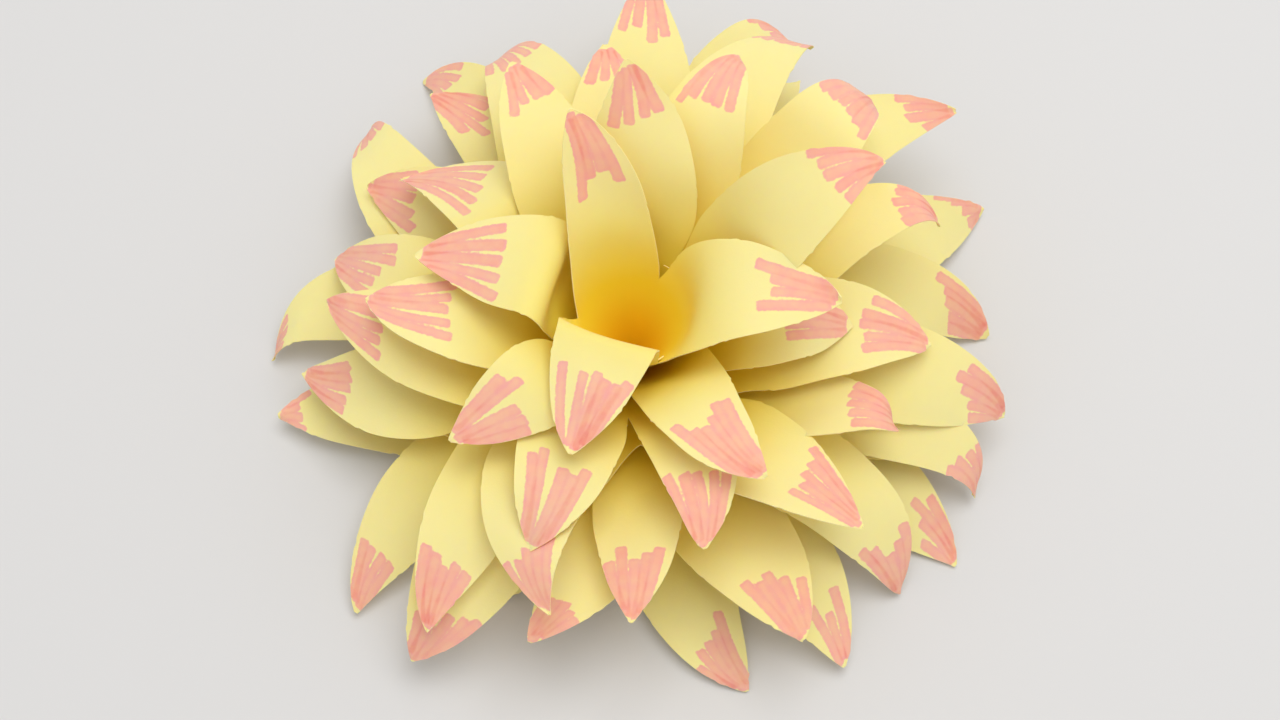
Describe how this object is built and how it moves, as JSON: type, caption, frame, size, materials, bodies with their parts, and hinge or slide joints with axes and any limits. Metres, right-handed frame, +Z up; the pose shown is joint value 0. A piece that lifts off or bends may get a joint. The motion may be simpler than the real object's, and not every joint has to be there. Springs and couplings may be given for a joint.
{
  "type": "paper flower",
  "caption": "Handmade paper flower: star-cut sheets rolled into nested cones, with curled pointed petals and felt-pen strokes on the tips.",
  "frame": {"origin": "middle of the flat underside of the lowest sheet, which the flower stands on", "axes": "+Z up along the common axis of the nested cones, +Y towards the back of the flower"},
  "size_m": [0.1505, 0.1475, 0.0616],
  "materials": {
    "paper_heart": "matt, deeper yellow inside the cone",
    "paper": "matt, pink felt-pen strokes on the tips",
    "paper_base": "matt, pink felt-pen strokes on the tips"
  },
  "bodies": {
    "root": {"sheet_1_heart": "paper_heart", "sheet_2": "paper", "sheet_3": "paper", "sheet_4": "paper", "sheet_5": "paper", "sheet_6": "paper", "sheet_7": "paper", "sheet_8": "paper", "sheet_9_base": "paper_base"}
  },
  "joints": []
}
